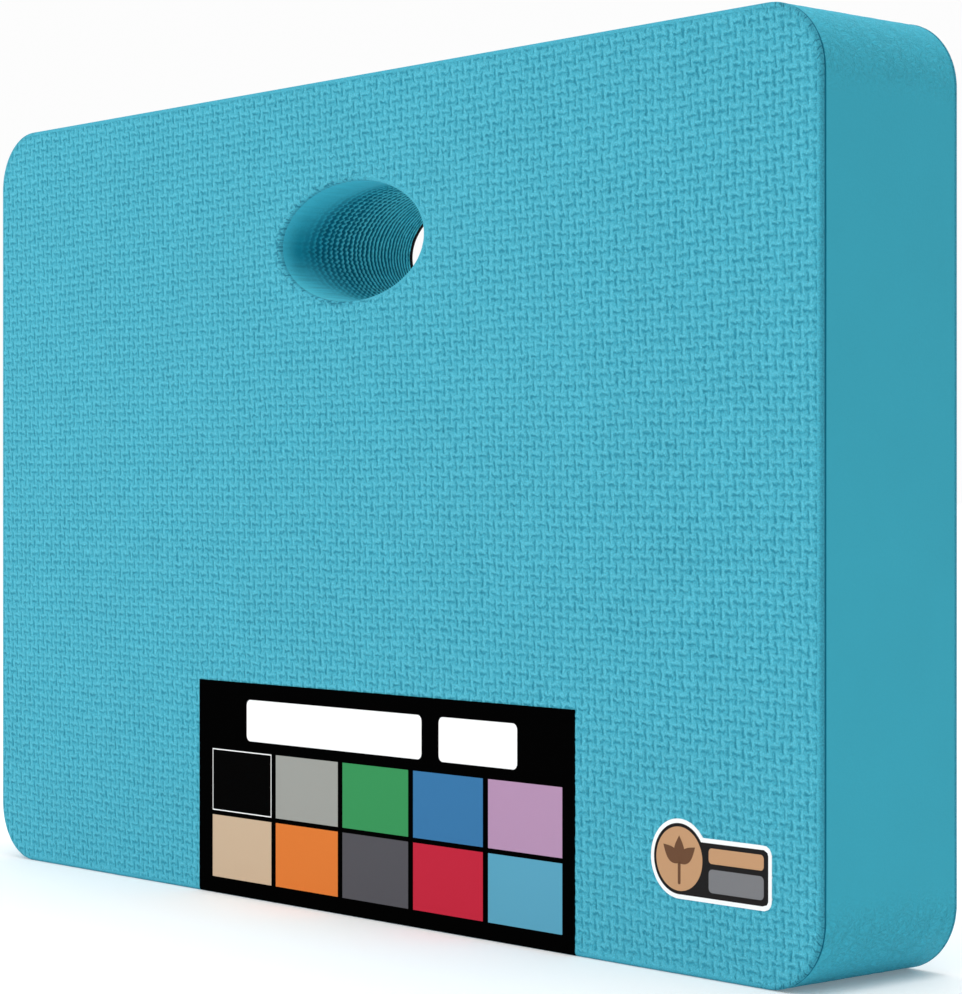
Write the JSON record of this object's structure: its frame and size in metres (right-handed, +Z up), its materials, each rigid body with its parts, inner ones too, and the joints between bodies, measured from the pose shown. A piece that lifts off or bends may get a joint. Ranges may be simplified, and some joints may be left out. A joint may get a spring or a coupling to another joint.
{
  "type": "kneeling pad",
  "caption": "Thick rectangular foam kneeling pad with weave-embossed faces, a smooth rounded side and an oval carrying hole near its top edge.",
  "frame": {"origin": "middle of the pad's bottom edge: the centre of its footprint as it stands on its long edge", "axes": "+X along the pad, +Z up towards the carrying hole, -Y out of the kneeling face"},
  "size_m": [0.425, 0.06, 0.28],
  "materials": {
    "core_foam": "matt closed-cell foam",
    "side_foam": "matt smooth foam skin with fine grain",
    "embossed_foam": "matt weave-embossed foam",
    "bond_film": "dark adhesive film",
    "sleeve_foam": "matt ribbed foam",
    "rim_black": "matt black",
    "card_print": "printed matt card",
    "sticker_film": "printed vinyl with a white border"
  },
  "bodies": {
    "root": {"foam_core": "core_foam", "side_band": "side_foam", "front_sheet": "embossed_foam", "back_sheet": "embossed_foam", "front_bond": "bond_film", "back_bond": "bond_film", "handle_sleeve": "sleeve_foam", "hole_rim_ring": "rim_black", "colour_card": "card_print", "badge_sticker": "sticker_film"}
  },
  "joints": []
}
